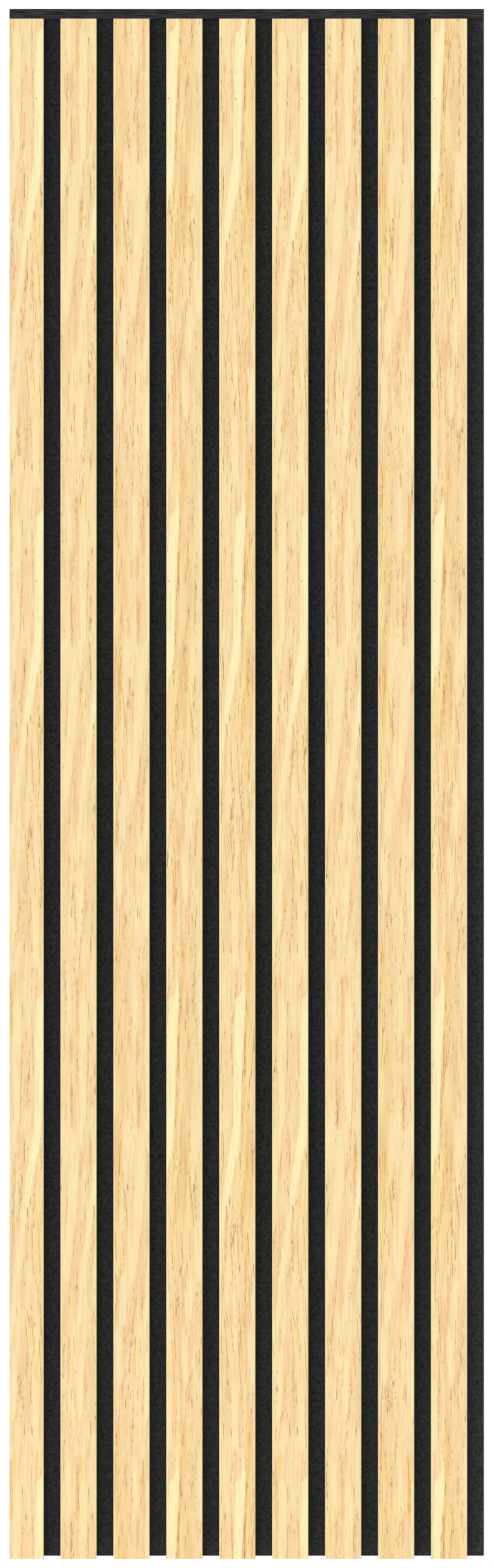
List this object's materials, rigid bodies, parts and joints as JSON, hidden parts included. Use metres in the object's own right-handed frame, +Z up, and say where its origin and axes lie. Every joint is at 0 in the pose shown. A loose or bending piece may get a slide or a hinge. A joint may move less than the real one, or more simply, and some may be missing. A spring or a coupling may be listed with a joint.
{
  "type": "acoustic wall panel",
  "caption": "Tall sound-damping wall panel: spaced upright pale wood slats on a dark felt sheet, with a dark rail across the top and a felt margin on the right for the next panel.",
  "frame": {"origin": "middle of the felt's back, the face that lies against the wall", "axes": "+Z up along the slats, +Y into the wall, so the front faces -Y and +X is to the right"},
  "size_m": [0.3676, 0.021, 1.1999],
  "materials": {
    "slats": "satin",
    "felt": "matte",
    "rail": "matte",
    "staples": "galvanised"
  },
  "bodies": {
    "root": {"felt_backing": "felt", "top_rail": "rail", "slat_1": "slats", "slat_2": "slats", "slat_3": "slats", "slat_4": "slats", "slat_5": "slats", "slat_6": "slats", "slat_7": "slats", "slat_8": "slats", "slat_9": "slats", "staples": "staples"}
  },
  "joints": []
}
